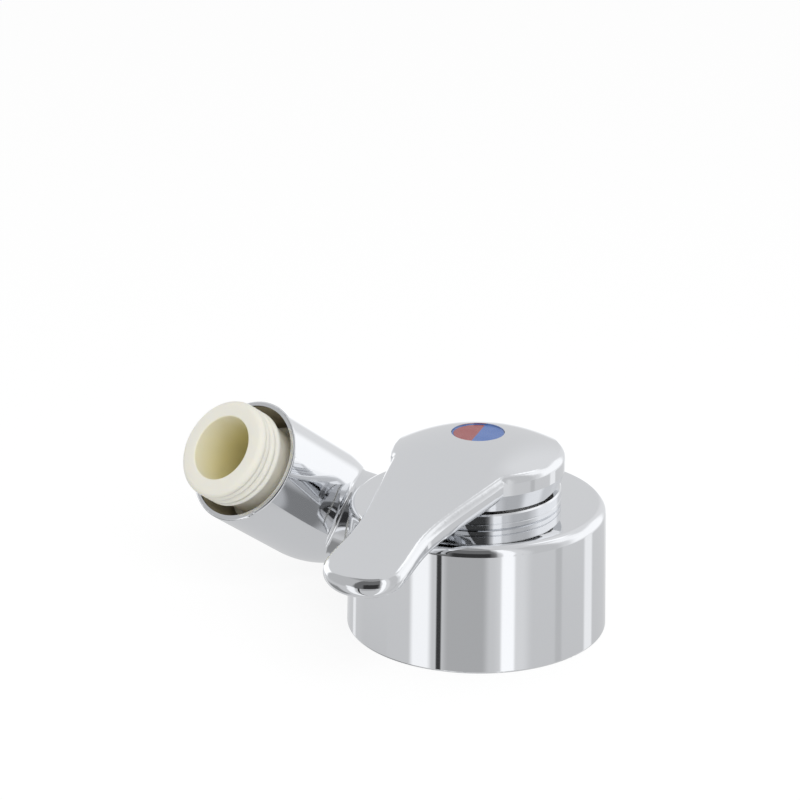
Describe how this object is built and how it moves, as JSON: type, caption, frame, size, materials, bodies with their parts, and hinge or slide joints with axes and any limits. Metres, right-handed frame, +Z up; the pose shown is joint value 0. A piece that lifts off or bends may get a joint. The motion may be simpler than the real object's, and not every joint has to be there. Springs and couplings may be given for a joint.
{
  "type": "low single-lever mixer with side elbow outlet",
  "caption": "Low chromed mixer: a drum body, a waisted lever handle with a hot and cold mark, and a side elbow that folds and holds a threaded plastic outlet nipple.",
  "frame": {"origin": "centre of the base face, on the body's axis", "axes": "+Z up along the body's axis, +X the way the outlet faces in plan, with the elbow on the -Y side"},
  "size_m": [0.0754, 0.0825, 0.0426],
  "materials": {
    "chrome": "polished chrome plate",
    "brass": "machined",
    "steel": "machined stainless steel",
    "rubber": "moulded, matt",
    "white_plastic": "moulded, satin",
    "ivory_plastic": "moulded acetal, slightly translucent",
    "ceramic": "ground and lapped ceramic",
    "blue_plastic": "moulded, glossy",
    "red_plastic": "moulded, glossy"
  },
  "bodies": {
    "body": {"mixer_body": "chrome", "base_gasket": "rubber", "outlet_stop_screw": "steel", "cover_ring": "chrome", "cartridge_nut": "brass", "cartridge_housing": "white_plastic", "housing_ring": "rubber", "cartridge_base": "white_plastic", "port_seals": "rubber", "fixed_disc": "ceramic", "swivel_washer": "white_plastic"},
    "outlet": {"outlet_elbow": "chrome", "spigot_ring_outer": "rubber", "spigot_ring_inner": "rubber", "outlet_nipple": "ivory_plastic", "nipple_seal": "rubber"},
    "rotor": {"cartridge_rotor": "white_plastic", "pivot_pin": "steel"},
    "lever": {"lever_spindle": "steel", "handle": "chrome", "handle_screw": "steel", "indicator_plug": "blue_plastic", "red_inlay": "red_plastic"},
    "disc": {"disc_carrier": "white_plastic", "moving_disc": "ceramic"}
  },
  "joints": [
    {"name": "outlet_fold", "type": "hinge", "parent": "body", "child": "outlet", "pos_m": [0, -0.0268, 0.0125], "axis": [0, -1, 0], "range_deg": [-26, 54]},
    {"name": "handle_turn", "type": "hinge", "parent": "body", "child": "rotor", "pos_m": [0, 0, 0.017], "axis": [0, 0, 1], "range_deg": [-45, 45]},
    {"name": "handle_lift", "type": "hinge", "parent": "rotor", "child": "lever", "pos_m": [0, 0, 0.017], "axis": [0.225, -0.9744, 0], "range_deg": [0, 16]},
    {"name": "disc_slide", "type": "slide", "parent": "rotor", "child": "disc", "axis": [0.9744, 0.225, 0], "range_m": [0, 0.00101]}
  ],
  "couplings": [
    {"joint": "disc_slide", "follows": "handle_lift", "m_per_rad": 0.0036}
  ]
}
